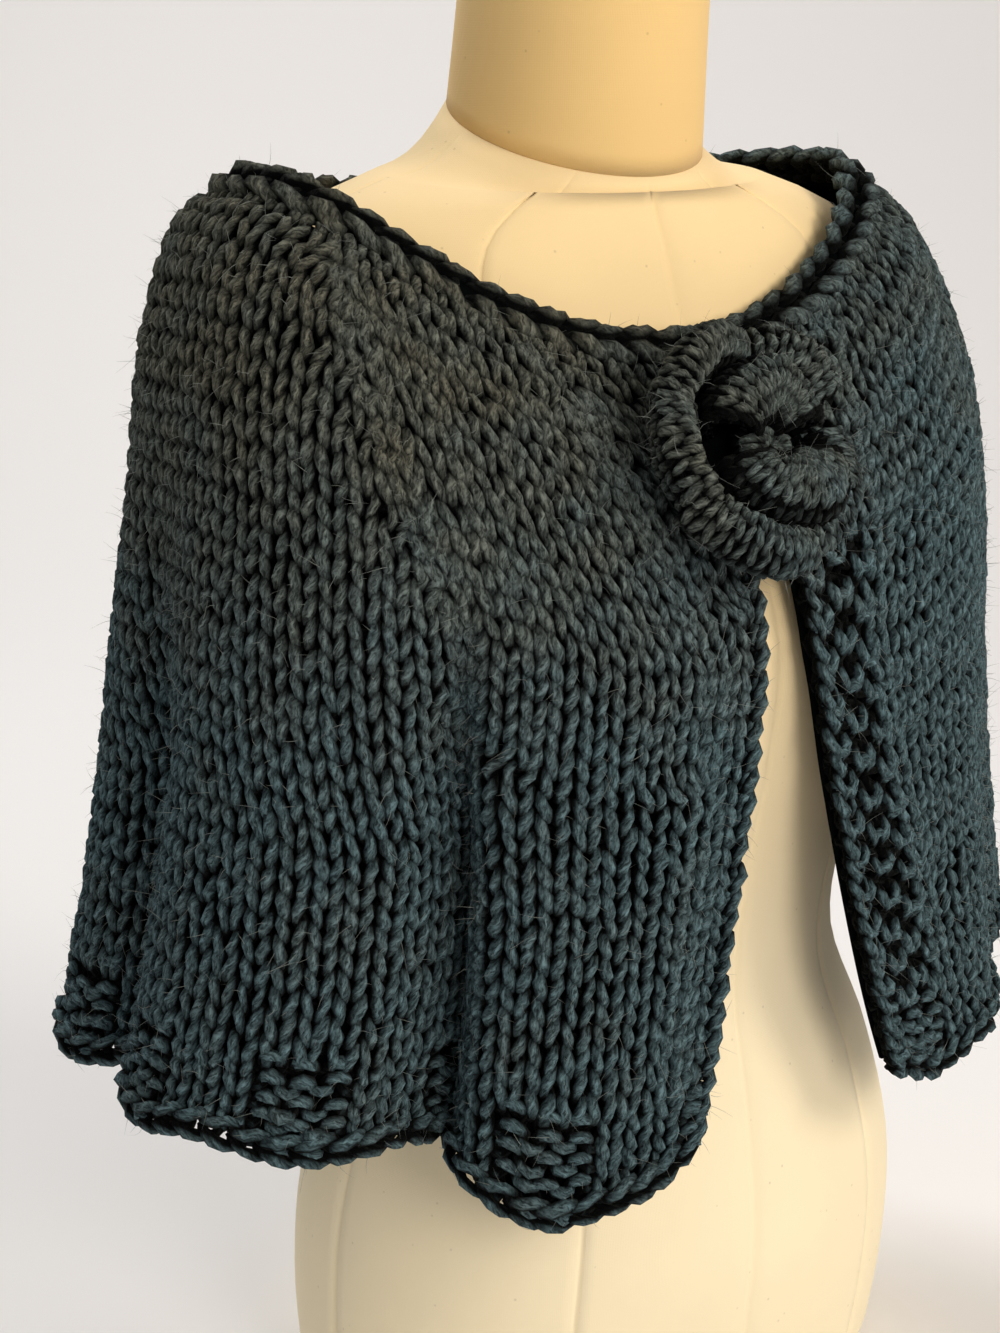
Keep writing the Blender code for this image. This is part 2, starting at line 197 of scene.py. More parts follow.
NECK_LEAN = math.radians(6)
NECK_ROUNDING = 0.006
NECK_GAP = 0.0003
SHOULDER_HEIGHT = 0.50
SHOULDER_DIP = 0.006
COVER_SEAMS = (0, 33, 90, 147, 180, -147, -90, -33)
SEAM_DEPTH = 0.0015
SEAM_PROFILE = (
    # degrees from the seam, share of the depth
    (-0.9, 0.0),
    (-0.45, 0.55),
    (0.0, 1.0),
    (0.45, 0.55),
    (0.9, 0.0),
)


def rows_at(table, position):
    """The table's columns at each position of its first column, on one smooth curve through the rows."""
    rows = np.array(table)
    stations = rows[:, 0]
    place = np.clip(np.asarray(position, float), stations[0], stations[-1])
    i = np.clip(np.searchsorted(stations, place, side="right") - 1, 0, len(rows) - 2)
    slopes = np.gradient(rows, stations, axis=0)
    span = (stations[i + 1] - stations[i])[..., None]
    t = (place - stations[i])[..., None] / span
    found = (
        (2 * t**3 - 3 * t**2 + 1) * rows[i]
        + (t**3 - 2 * t**2 + t) * span * slopes[i]
        + (-2 * t**3 + 3 * t**2) * rows[i + 1]
        + (t**3 - t**2) * span * slopes[i + 1]
    )
    return np.moveaxis(found[..., 1:], -1, 0)


def outline(angle, half_width, front, back, roundness, middle):
    """A point of a body outline. The angle is 0 at the front (-Y) and grows towards the left (+X)."""
    sine, cosine = np.sin(angle), np.cos(angle)
    reach = np.where(cosine > 0, front, back)
    x = half_width * np.sign(sine) * np.abs(sine) ** (2 / roundness)
    return x, middle + (reach - middle) * np.abs(cosine) ** (2 / roundness)


def ring_faces(rings, points):
    """Quads between closed rings, with a flat cap at each end."""
    faces = []
    for r in range(rings - 1):
        for i in range(points):
            here, after = r * points + i, r * points + (i + 1) % points
            faces.append((here, after, after + points, here + points))
    faces.append(tuple(reversed(range(points))))
    faces.append(tuple((rings - 1) * points + i for i in range(points)))
    return faces


def seamed_angles(plain):
    """Angles round the form, with close columns at each seam, and how deep each column is sunk."""
    clear = 2 * SEAM_PROFILE[-1][0]
    angles, depths = [], []
    for i in range(plain):
        angle = 360 * i / plain - 180
        if all(abs((angle - seam + 180) % 360 - 180) > clear for seam in COVER_SEAMS):
            angles.append(angle)
            depths.append(0.0)
    for seam in COVER_SEAMS:
        for offset, depth in SEAM_PROFILE:
            angles.append((seam + offset + 180) % 360 - 180)
            depths.append(depth)
    order = np.argsort(angles)
    return np.radians(np.array(angles)[order]), np.array(depths)[order] * SEAM_DEPTH


def neck_ring(angles, height, radius, centre_y, tilt):
    """A round ring whose front is lower by the tilt."""
    forward = radius * np.cos(angles)
    x = radius * np.sin(angles)
    return np.stack([x, centre_y - forward * math.cos(tilt), height - forward * math.sin(tilt)], -1)


def linen_finish(name, chest, belly):
    """Plain-woven linen, drawn tight: dry and even, a little paler low down, with a few dark flecks."""
    made, tree, shader = new_material(
        name, chest, 0.82, [("Sheen Weight", 0.12), ("Sheen Roughness", 0.6), ("Specular IOR Level", 0.25)]
    )
    where = add_node(tree, "TexCoord")
    at_place = [("Vector", where.outputs["Object"])]
    axes = add_node(tree, "SeparateXYZ", links=[(0, where.outputs["Object"])])
    level = add_node(tree, "MapRange", [("From Min", 0.22), ("From Max", 0.50)], [(0, axes.outputs["Z"])])
    base = add_node(
        tree, "Mix",
        [("data_type", "RGBA"), (6, linear_colour(belly)), (7, linear_colour(chest))],
        [(0, level)],
    )
    cloud = add_node(tree, "TexNoise", [("Scale", 14.0), ("Detail", 3.0)], at_place)
    tone = add_node(tree, "MapRange", [("To Min", 0.94), ("To Max", 1.05)], [(0, cloud)])
    # Flecks of husk in the thread, about 1 mm across and 10 to 20 mm apart.
    fleck = add_node(tree, "TexVoronoi", [("Scale", 85.0)], at_place)
    fleck_edge = add_node(
        tree, "MapRange",
        [("From Min", 0.030), ("From Max", 0.075), ("To Min", 0.80), ("To Max", 1.0)],
        [(0, fleck.outputs["Distance"])],
    )
    shade = add_node(tree, "Math", [("operation", "MULTIPLY")], [(0, tone), (1, fleck_edge)])
    toned = add_node(tree, "VectorMath", [("operation", "SCALE")], [(0, base.outputs[2]), ("Scale", shade)])
    tree.links.new(toned.outputs[0], shader.inputs["Base Color"])
    # Threads about 0.75 mm apart each way, with slubs about 2 mm long.
    threads = []
    for direction in ("X", "Z"):
        threads.append(add_node(
            tree, "TexWave",
            [("bands_direction", direction), ("Scale", 420.0), ("Distortion", 1.2), ("Detail", 1.0)],
            at_place,
        ))
    weave = add_node(
        tree, "Math", [("operation", "ADD")], [(0, threads[0].outputs[1]), (1, threads[1].outputs[1])]
    )
    slub = add_node(tree, "TexNoise", [("Scale", 420.0), ("Detail", 2.0)], at_place)
    relief = add_node(tree, "Math", [("operation", "ADD")], [(0, weave), (1, slub)])
    bump = add_node(tree, "Bump", [("Strength", 0.12), ("Distance", 0.0003)], [("Height", relief)])
    tree.links.new(bump.outputs[0], shader.inputs["Normal"])
    return made


cream_linen = linen_finish("cream_linen", "#f4daa6", "#f6e8c6")
greyed_linen = linen_finish("greyed_linen", "#e8c585", "#e8c585")

form_angles, seam_sink = seamed_angles(120)
levels = np.concatenate([
    np.linspace(0.0, SHOULDER_HEIGHT, 41), np.linspace(SHOULDER_HEIGHT, TORSO[-1][0], 15)[1:],
])
half_width, front, back, roundness, middle = rows_at(TORSO, levels[:, None])
form_x, form_y = outline(form_angles[None, :], half_width, front, back, roundness, middle)
length = np.hypot(form_x, form_y - middle)
form_x = form_x * (1 - seam_sink / length)
form_y = middle + (form_y - middle) * (1 - seam_sink / length)
# Above the shoulder height the outlines tip forwards more and more, towards the slope of the neck's seam.
tilt_up = np.maximum(0.0, levels[:, None] - SHOULDER_HEIGHT)
form_z = levels[:, None] + tilt_up * (form_y - NECK_CENTRE)
rings = list(np.stack([form_x, form_y, form_z], -1))
seam = neck_ring(form_angles, NECK_SEAM_HEIGHT, NECK_RADIUS, NECK_CENTRE, NECK_SEAM_TILT)
last = rings[-1]
for part in (0.2, 0.4, 0.6, 0.8, 1.0):
    between = last * (1 - part) + seam * part
    between[:, 2] -= SHOULDER_DIP * math.sin(math.pi * part)
    rings.append(between)
# The bottom edge is turned under a little, on a flat base.
TURNED_UNDER = 0.985
rings[0] = rings[0] * np.array((TURNED_UNDER, TURNED_UNDER, 1.0))
torso = add_mesh(
    "torso_cover", np.concatenate(rings), ring_faces(len(rings), len(form_angles)), cream_linen
)
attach(torso, "root")
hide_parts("torso")

neck_start = NECK_SEAM_HEIGHT + NECK_GAP
neck_length = NECK_TOP - 0.008 - neck_start
rings = []
for part in np.linspace(0, 0.92, 12):
    height = neck_start + neck_length * part
    radius = NECK_RADIUS + (NECK_TOP_RADIUS - NECK_RADIUS) * math.sin(part * math.pi / 2)
    centre = NECK_CENTRE - (height - neck_start) * math.tan(NECK_LEAN)
    rings.append(neck_ring(form_angles, height, radius, centre, NECK_SEAM_TILT * (1 - part)))
centre = NECK_CENTRE - (NECK_TOP - neck_start) * math.tan(NECK_LEAN)
for turn in np.linspace(0, math.pi / 2, 7):
    radius = NECK_TOP_RADIUS - NECK_ROUNDING * (1 - math.cos(turn))
    height = NECK_TOP - NECK_ROUNDING * (1 - math.sin(turn))
    rings.append(neck_ring(form_angles, height, radius, centre, 0.0))
neck = add_mesh("neck_cover", np.concatenate(rings), ring_faces(len(rings), len(form_angles)), greyed_linen)
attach(neck, "root")
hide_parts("neck")


# ---- Knitted sections ------------------------------------------------------------------------------
# Each section is plain stocking stitch in a soft, loosely spun charcoal yarn as thick as a pencil. Each row
# is one strand of yarn that loops through the row below it. Behind the loops lies the back of the cloth, a
# thin sheet coloured nearly black as painted shade in the gaps between the loops, which with its loops
# stands for the section's part of the CAD model.
CLOTH = (
    # drop, side_z, front_z, back_z, half_width, front, back, roundness, shift, middle, scoop
    (0.00, 0.603, 0.530, 0.588, 0.165, -0.0710, 0.124, 2.2, -0.014, 0.020, 2.2),
    (0.05, 0.595, 0.513, 0.576, 0.181, -0.093, 0.135, 2.3, -0.015, 0.020, 2.2),
    (0.10, 0.578, 0.496, 0.557, 0.192, -0.106, 0.142, 2.3, -0.014, 0.020, 2.2),
    (0.16, 0.548, 0.473, 0.532, 0.200, -0.122, 0.147, 2.4, -0.014, 0.018, 2.2),
    (0.30, 0.488, 0.424, 0.482, 0.208, -0.142, 0.154, 2.4, -0.015, 0.016, 2.4),
    (0.50, 0.402, 0.348, 0.402, 0.220, -0.148, 0.160, 2.4, -0.017, 0.014, 2.8),
    (0.75, 0.305, 0.265, 0.302, 0.236, -0.150, 0.166, 2.4, -0.018, 0.012, 3.4),
    (1.00, 0.213, 0.181, 0.211, 0.255, -0.152, 0.172, 2.4, -0.019, 0.012, 4.0),
)
FOLDS = (
    # angle, half_width, depth, starts, full
    (-39, 13, -0.026, 0.22, 0.80),
    (-93, 10, -0.013, 0.16, 0.60),
    (-128, 12, -0.012, 0.30, 0.90),
    (-158, 11, 0.010, 0.20, 0.80),
    (178, 12, -0.014, 0.18, 0.70),
    (146, 12, 0.010, 0.25, 0.90),
    (118, 11, -0.013, 0.20, 0.80),
    (84, 10, 0.008, 0.30, 0.90),
    (52, 12, -0.018, 0.25, 0.85),
    (-26, 10, 0.006, 0.45, 1.00),
    (30, 9, 0.006, 0.45, 1.00),
    (-40.5, 4.2, -0.042, 0.26, 0.62),
    (-93, 4.5, -0.012, 0.20, 0.60),
)
HEM_RISES = (
    # angle, half_width, rise
    (-22, 17, -0.017),
    (-5, 5, 0.024),
    (14, 5, 0.014),
)
SEAM_DROPS = (0.00, 0.15, 0.34, 0.65, 1.00)
SEAMS = {
    "right_edge": (-2.0, -1.0, -1.5, -4.0, -6.5),
    "right_band": (-27.0, -13.5, -6.5, -9.0, -11.0),
    "right_raglan": (-62.0, -51.0, -40.0, -35.0, -34.0),
    "back_right": (-112.0, -121.0, -129.0, -131.0, -132.0),
    "back_left": (-248.0, -239.0, -231.0, -229.0, -228.0),
    "left_raglan": (-298.0, -309.0, -320.0, -325.0, -326.0),
    "left_band": (-333.0, -345.0, -348.0, -341.0, -334.0),
    "left_edge": (-357.5, -358.0, -357.0, -352.0, -346.0),
}
WALE = 0.0138
ROW = 0.0106
ROWS = 38
HEM_ROW = 34
YARN_HALF_WIDTH = 0.0028
YARN_HALF_DEPTH = 0.0028
LOOP_DEPTH = 0.0027
LOOP_SWING = 0.20
LOOP_REACH = 0.84
WALE_WANDER = 0.045
REACH_WANDER = 0.07
LEVEL_WANDER = 0.10
LIFT_WANDER = 0.0004
WIDTH_WANDER = 0.10
LUMPS = 0.06
SURFACE_LUMPS = 0.09
RINGS_PER_STITCH = 14
EASED_STITCHES = 3
YARN_SIDES = 6
BACKING_OFFSET = -0.0040
BACKING_THICKNESS = 0.0016


def cloth_point(angle, drop):
    """Points of the cloth's middle surface, for arrays of angles and drops."""
    angle, drop = np.broadcast_arrays(np.asarray(angle, float), np.asarray(drop, float))
    inside = np.clip(drop, 0.0, 1.0)
    side_z, front_z, back_z, width, front, back, roundness, shift, middle, scoop = rows_at(CLOTH, inside)
    x, y = outline(angle, width, front, back, roundness, middle)
    cosine = np.cos(angle)
    end_z = np.where(cosine > 0, front_z, back_z)
    z = side_z + (end_z - side_z) * np.abs(cosine) ** scoop
    degrees = np.degrees(angle)
    for place, spread, rise in HEM_RISES:
        away = (degrees - place + 180) % 360 - 180
        z = z + rise * inside**6 * np.exp(-((away / spread) ** 2))
    push = np.zeros_like(x)
    for place, spread, depth, starts, full in FOLDS:
        away = (degrees - place + 180) % 360 - 180
        growth = np.clip((inside - starts) / (full - starts), 0.0, 1.0)
        push += depth * growth**1.3 * np.exp(-((away / spread) ** 2))
    reach = np.hypot(x, y)
    return np.stack([x * (1 + push / reach) + shift, y * (1 + push / reach), z], -1)


def unit(vectors):
    return vectors / np.linalg.norm(vectors, axis=-1, keepdims=True)


def cloth_frame(angle, drop):
    """Points of the middle surface, with unit directions outwards and down the cloth."""
    aside, along = 0.02, 0.01
    around = cloth_point(angle + aside, drop) - cloth_point(angle - aside, drop)
    lower, upper = np.minimum(drop + along, 1.0), np.maximum(drop - along, 0.0)
    down = cloth_point(angle, lower) - cloth_point(angle, upper)
    return cloth_point(angle, drop), unit(np.cross(down, around)), unit(down)


def seam_angle(name, drop):
    """The angle of a seam at each drop."""
    return np.radians(np.interp(drop, SEAM_DROPS, SEAMS[name]))


# How far down the cloth each row of stitches lies, so that rows are evenly deep along its surface.
fine_drops = np.linspace(0, 1, 201)
lines = cloth_point(np.radians((-20, -50, -90, -150, 180, 120, 90, 45))[:, None], fine_drops[None, :])
depths = np.cumsum(np.linalg.norm(np.diff(lines, axis=1), axis=2), axis=1).mean(axis=0)
row_places = np.concatenate([[0.0], depths / depths[-1] * ROWS])
half_rows = np.arange(0, ROWS + 0.25, 0.5)


def drop_of_row(row):
    return np.interp(row, row_places, fine_drops)


def section_plan(first, last, anchor, per_step):
    """How a section is laid out in stitches: for each row the stitch count, and a table of angles by row
    and by share of the section's width. Stitches line up from the anchor, a share of the width."""
    drops = drop_of_row(half_rows)
    share = np.linspace(0, 1, 121)
    start, end = seam_angle(first, drops), seam_angle(last, drops)
    angles = start[:, None] + (end - start)[:, None] * share[None, :]
    points = cloth_point(angles, drops[:, None])
    arcs = np.cumsum(np.linalg.norm(np.diff(points, axis=1), axis=2), axis=1)
    arcs = np.concatenate([np.zeros((len(half_rows), 1)), arcs], axis=1)
    widths = arcs[:, -1]
    table = np.array([np.interp(share * w, a, g) for w, a, g in zip(widths, arcs, angles)])
    middle_width = np.interp(np.arange(ROWS) + 0.5, half_rows, widths)
    first_count = round(middle_width[0] / WALE)
    steps = np.round((middle_width / WALE - first_count) / per_step)
    counts = np.maximum(first_count + per_step * steps, 1)
    return {"anchor": anchor, "counts": counts.astype(int), "widths": widths / WALE, "table": table}


def section_angle(plan, wale, row):
    """The angle of places in a section, in stitches from its anchor and in rows from the neckline. The
    stitches are evenly wide, apart from the last few at each edge, which are eased to meet it."""
    count = np.interp(row, np.arange(ROWS) + 0.5, plan["counts"])
    room = np.interp(row, half_rows, plan["widths"])
    side = np.where(wale >= 0, 1 - plan["anchor"], plan["anchor"])
    even = np.maximum(count * side - EASED_STITCHES, 0.0)
    eased = (room * side - even) / np.maximum(count * side - even, 0.01)
    reach = np.abs(wale)
    offset = np.sign(wale) * np.where(reach < even, reach, even + (reach - even) * eased)
    table = plan["table"]
    share = np.clip(plan["anchor"] + offset / room, 0.0, 1.0) * (table.shape[1] - 1)
    level = np.clip(row * 2, 0.0, table.shape[0] - 1.0)
    i = np.clip(level.astype(int), 0, table.shape[0] - 2)
    j = np.clip(share.astype(int), 0, table.shape[1] - 2)
    a, b = level - i, share - j
    return (
        table[i, j] * (1 - a) * (1 - b) + table[i + 1, j] * a * (1 - b)
        + table[i, j + 1] * (1 - a) * b + table[i + 1, j + 1] * a * b
    )


def section_place(plan):
    """A function from stitches and rows to the cloth's surface, for the yarn to follow."""
    def place(wale, row):
        point, outward, down = cloth_frame(section_angle(plan, wale, row), drop_of_row(row))
        past_edge = np.maximum(row - ROWS, 0.0) + np.minimum(row, 0.0)
        return point + down * (past_edge * ROW)[..., None], outward
    return place


def uneven(rng, count, samples, size):
    """A smooth random value along a strand, that changes from leg to leg of its stitches."""
    knots = rng.normal(0, size, 2 * count + 2)
    return np.interp(np.linspace(0, 2 * count, samples), np.arange(2 * count + 2), knots)


def yarn_strand(strands, points, outward, half_width, half_depth, lie):
    """Adds one strand, swept along points. Lie is how far forward each point is in the cloth, 0 to 1."""
    ahead = unit(np.gradient(points, axis=0))
    aside = unit(np.cross(ahead, outward))
    out = np.cross(aside, ahead)
    turn = 2 * np.pi * np.arange(YARN_SIDES) / YARN_SIDES
    wide = half_width[:, None, None] * np.cos(turn)[None, :, None] * aside[:, None, :]
    deep = half_depth[:, None, None] * np.sin(turn)[None, :, None] * out[:, None, :]
    rough = 1 + strands["rng"].normal(0, SURFACE_LUMPS, (len(points), YARN_SIDES, 1))
    ring_points = points[:, None, :] + (wide + deep) * rough
    steps = np.linalg.norm(np.diff(points, axis=0), axis=1)
    travelled = np.concatenate([[0.0], np.cumsum(steps)]) + strands["length"]
    strands["length"] = travelled[-1] % 10.0
    strands["rings"].append(ring_points)
    strands["travelled"].append(travelled)
    strands["lie"].append(lie)
    strands["centres"].append(points)
    strands["outward"].append(outward)


def new_strands(rng):
    """An empty set of strands, to be knitted and then turned into one mesh."""
    fields = ("rings", "travelled", "lie", "centres", "outward")
    return {"rng": rng, "length": 0.0, **{field: [] for field in fields}}


def yarn_object(name, strands):
    """Turns strands into one mesh, with the share round the yarn and the length along it as its UV map, and
    each point's lie, lower on the sides of the yarn that face into the cloth, as the attribute that the
    painted shade follows.
    """
    points, quads, caps, uvs, lies = [], [], [], [], []
    start = 0
    side = np.arange(YARN_SIDES)
    for rings, travelled, lie in zip(strands["rings"], strands["travelled"], strands["lie"]):
        count = len(rings)
        base = start + np.arange(count - 1)[:, None] * YARN_SIDES
        here, after = base + side, base + (side + 1) % YARN_SIDES
        quads.append(np.stack([here, after, after + YARN_SIDES, here + YARN_SIDES], -1).reshape(-1, 4))
        u0 = np.broadcast_to(side / YARN_SIDES, here.shape)
        u1 = np.broadcast_to((side + 1) / YARN_SIDES, here.shape)
        v0 = np.broadcast_to(travelled[:-1, None], here.shape)
        v1 = np.broadcast_to(travelled[1:, None], here.shape)
        corners = np.stack([np.stack(uv, -1) for uv in ((u0, v0), (u1, v0), (u1, v1), (u0, v1))], 2)
        uvs.append(corners.reshape(-1, 2))
        caps.append(tuple(start + int(s) for s in side[::-1]))
        caps.append(tuple(start + (count - 1) * YARN_SIDES + int(s) for s in side))
        points.append(rings.reshape(-1, 3))
        # Painted shade: the sides of the yarn that face into the cloth count as lying deeper.
        facing = 0.55 + 0.45 * np.sin(2 * np.pi * side / YARN_SIDES)
        lies.append((lie[:, None] * facing[None, :]).ravel())
        start += count * YARN_SIDES
    quads = np.concatenate(quads)
    thing = add_mesh(name, np.concatenate(points), quads.tolist() + caps, charcoal_yarn)
    layer = thing.data.uv_layers.new(name="yarn")
    flat = np.zeros((len(thing.data.loops), 2), np.float32)
    side_uvs = np.concatenate(uvs)
    flat[:len(side_uvs)] = side_uvs
    layer.data.foreach_set("uv", flat.ravel())
    forward = thing.data.attributes.new("lie", "FLOAT", "POINT")
    forward.data.foreach_set("value", np.concatenate(lies).astype(np.float32))
    return thing


def knit_row(strands, place, rng, count, first_wale, row, purled=None, fat=1.0, depth=LOOP_DEPTH):
    """One row of stitches. Purled stitches have their loops turned to the front."""
    samples = RINGS_PER_STITCH * count + 1
    turn = np.linspace(0, 2 * np.pi * count, samples)
    wale = first_wale + turn / (2 * np.pi) + LOOP_SWING * np.sin(2 * turn)
    wale += uneven(rng, count, samples, WALE_WANDER)
    reach = LOOP_REACH * (1 + uneven(rng, count, samples, REACH_WANDER))
    level = row + 0.5 + reach * np.cos(turn) + uneven(rng, count, samples, LEVEL_WANDER)
    facing = np.ones(samples)
    if purled is not None:
        facing = np.interp(turn / (2 * np.pi), np.arange(count) + 0.5, np.where(purled, -1.0, 1.0))
        facing = np.clip(facing * 2.5, -1, 1)
    forward = -np.cos(2 * turn) * facing
    point, outward = place(wale, level)
    lift = depth * forward + uneven(rng, count, samples, LIFT_WANDER)
    lie = 0.5 + 0.5 * forward
    fullness = (0.82 + 0.22 * np.clip(lie, 0, 1)) * (1 + uneven(rng, count, samples, WIDTH_WANDER))
    lumps = 1 + rng.normal(0, LUMPS, samples)
    half_width = YARN_HALF_WIDTH * fat * fullness * lumps
    half_depth = YARN_HALF_DEPTH * fat * fullness * lumps
    yarn_strand(strands, point + outward * lift[:, None], outward, half_width, half_depth, lie)


def backing_sheet(name, place_grid, offset=BACKING_OFFSET):
    """The closed thin sheet behind the loops, from a grid of points and directions."""
    points, outward = place_grid
    rows, columns = points.shape[:2]
    skins = [
        (points + outward * (offset + half * BACKING_THICKNESS / 2)).reshape(-1, 3)
        for half in (1, -1)
    ]
    size = rows * columns
    corner = (np.arange(rows - 1)[:, None] * columns + np.arange(columns - 1)).ravel()
    faces = np.stack([corner, corner + columns, corner + columns + 1, corner + 1], -1).tolist()
    faces += [tuple(size + i for i in reversed(face)) for face in faces]
    rim = [(c, c + 1) for c in range(columns - 1)]
    rim += [((r + 1) * columns - 1, (r + 2) * columns - 1) for r in range(rows - 1)]
    rim += [(size - c, size - c - 1) for c in range(1, columns)]
    rim += [((rows - r) * columns, (rows - r - 1) * columns) for r in range(1, rows)]
    for here, after in rim:
        faces.append((here, after, size + after, size + here))
    return add_mesh(name, np.concatenate(skins), faces, backing)


def yarn_finish(name, colour, shade_colour, tint):
    """Loosely spun wool-blend yarn: dull and soft, with strands that twist round each other, fibres that
    lie along them, and painted shade, nearly black, where the loops shade each other."""
    made, tree, shader = new_material(name, colour, 0.96, [
        ("Specular IOR Level", 0.05), ("Sheen Weight", 0.04), ("Sheen Roughness", 0.55),
        ("Sheen Tint", linear_colour("#b9c2c0")),
    ])
    where = add_node(tree, "TexCoord")
    at_place = [("Vector", where.outputs["Object"])]
    along = add_node(tree, "UVMap", [("uv_map", "yarn")])
    parts = add_node(tree, "SeparateXYZ", links=[(0, along)])
    # Four strands twist round each other. One comes to the front every 9 mm, a full twist takes 36 mm.
    strands, pitch = 4, 0.009
    slant = add_node(
        tree, "Math", [("operation", "MULTIPLY"), (1, 2 * math.pi / pitch)], [(0, parts.outputs["Y"])]
    )
    round_about = add_node(
        tree, "Math", [("operation", "MULTIPLY"), (1, 2 * math.pi * strands)], [(0, parts.outputs["X"])]
    )
    fray = add_node(tree, "TexNoise", [("Scale", 260.0), ("Detail", 3.0)], at_place)
    stray = add_node(tree, "Math", [("operation", "MULTIPLY"), (1, 5.0)], [(0, fray)])
    phase = add_node(tree, "Math", [("operation", "ADD")], [(0, slant), (1, round_about)])
    phase = add_node(tree, "Math", [("operation", "ADD")], [(0, phase), (1, stray)])
    twist = add_node(tree, "Math", [("operation", "SINE")], [(0, phase)])
    ply = add_node(tree, "MapRange", [("From Min", -1.0)], [(0, twist)])
    fibre = add_node(tree, "TexNoise", [("Scale", 900.0), ("Detail", 4.0), ("Roughness", 0.7)], at_place)
    # Fibres lie along the strands: fine across them and a few millimetres long.
    across = add_node(tree, "Math", [("operation", "MULTIPLY"), (1, 0.55)], [(0, phase)])
    lengthwise = add_node(tree, "Math", [("operation", "MULTIPLY"), (1, 330.0)], [(0, parts.outputs["Y"])])
    fibre_place = add_node(tree, "CombineXYZ", links=[(0, across), (1, lengthwise)])
    clump = add_node(
        tree, "TexNoise", [("Scale", 1.0), ("Detail", 3.0), ("Roughness", 0.65)], [("Vector", fibre_place)]
    )
    tuft = add_node(tree, "Math", [("operation", "MULTIPLY"), (1, 1.3)], [(0, fibre)])
    relief = add_node(tree, "Math", [("operation", "ADD")], [(0, ply), (1, tuft)])
    bump = add_node(tree, "Bump", [("Strength", 0.9), ("Distance", 0.0011)], [("Height", relief)])
    tree.links.new(bump.outputs[0], shader.inputs["Normal"])
    # Colour: warm grey high up at the right shoulder, as painted warm light, and slate teal lower down, as
    # painted cool shade; more teal to the left, and in slow drifts of dye.
    drift = add_node(tree, "TexNoise", [("Scale", 38.0), ("Detail", 4.0)], at_place)
    axes = add_node(tree, "SeparateXYZ", links=[(0, where.outputs["Object"])])
    height = add_node(
        tree, "MapRange",
        [("From Min", 0.36), ("From Max", 0.54), ("To Min", -0.45), ("To Max", 0.40)],
        [(0, axes.outputs["Z"])],
    )
    side = add_node(
        tree, "MapRange", [("From Min", -0.09), ("From Max", 0.10), ("To Max", -0.55)],
        [(0, axes.outputs["X"])],
    )
    warm_light_and_dye = add_node(tree, "Math", [("operation", "ADD")], [(0, height), (1, drift)])
    warm_light_and_dye = add_node(tree, "Math", [("operation", "ADD"), ("use_clamp", True)], [(0, warm_light_and_dye), (1, side)])
    dye_and_light_tint = add_node(
        tree, "Mix",
        [("data_type", "RGBA"), (6, linear_colour(tint)), (7, linear_colour(colour))],
        [(0, warm_light_and_dye)],
    )
    # Painted shade: nearly black where the yarn lies deep in the cloth or faces into it, in the grooves
    # between its strands and between clumps of fibre.
    lie = add_node(tree, "Attribute", [("attribute_name", "lie")])
    front = add_node(tree, "MapRange", [("From Min", 0.50), ("From Max", 0.92)], [(0, lie.outputs["Fac"])])
    clump_gap_shade = add_node(
        tree, "MapRange", [("From Min", 0.38), ("From Max", 0.64), ("To Min", 0.16)], [(0, clump)]
    )
    shaded = add_node(tree, "Math", [("operation", "MULTIPLY")], [(0, front), (1, clump_gap_shade)])
    ply_groove_shade = add_node(tree, "MapRange", [("To Min", 0.62)], [(0, ply)])
    shaded = add_node(
        tree, "Math", [("operation", "MULTIPLY"), ("use_clamp", True)], [(0, shaded), (1, ply_groove_shade)]
    )
    finished = add_node(
        tree, "Mix", [("data_type", "RGBA"), (6, linear_colour(shade_colour))], [(0, shaded), (7, dye_and_light_tint.outputs[2])]
    )
    tree.links.new(finished.outputs[2], shader.inputs["Base Color"])
    return made


# The nearly black second colour is the painted shade of the yarn's deep parts.
charcoal_yarn = yarn_finish("charcoal_bulky_yarn", "#878778", "#010202", "#728f98")

# The sheets behind the loops and the rose's pad are nearly black: painted shade in the gaps between the
# loops, with a felted bump.
backing, backing_tree, backing_shader = new_material(
    "yarn_back_painted_shade", "#101314", 1.0, [("Specular IOR Level", 0.0)]
)
felt_where = add_node(backing_tree, "TexCoord")
felt = add_node(
    backing_tree, "TexNoise", [("Scale", 300.0), ("Detail", 3.0)],
    [("Vector", felt_where.outputs["Object"])],
)
felt_shade_tone = add_node(
    backing_tree, "Mix",
    [("data_type", "RGBA"), (6, linear_colour("#020303")), (7, linear_colour("#0a0c0d"))],
    [(0, felt)],
)
backing_tree.links.new(felt_shade_tone.outputs[2], backing_shader.inputs["Base Color"])
felt_bump = add_node(backing_tree, "Bump", [("Strength", 0.6), ("Distance", 0.001)], [("Height", felt)])
backing_tree.links.new(felt_bump.outputs[0], backing_shader.inputs["Normal"])

# The sections, with the share of the width that their stitches line up from and how many stitches are
# gained at a time: two on the sections that grow at both edges, one on those that grow at one edge.
SECTIONS = (
    # name, first seam, last seam, anchor, stitches gained at a time
    ("right_front_band", "right_edge", "right_band", 1.0, 1),
    ("right_front", "right_band", "right_raglan", 0.5, 2),
    ("right_shoulder", "right_raglan", "back_right", 0.5, 2),
    ("back", "back_right", "back_left", 0.5, 2),
    ("left_shoulder", "back_left", "left_raglan", 0.5, 2),
    ("left_front", "left_raglan", "left_band", 0.5, 2),
    ("left_front_band", "left_band", "left_edge", 1.0, 1),
)
fuzz_roots = []


def state_sheet(sheet, loops, nodes):
    """Says what a knitted piece rides on and stands for."""
    for piece in (sheet, loops):
        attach(piece, "root")
    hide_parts(*nodes)


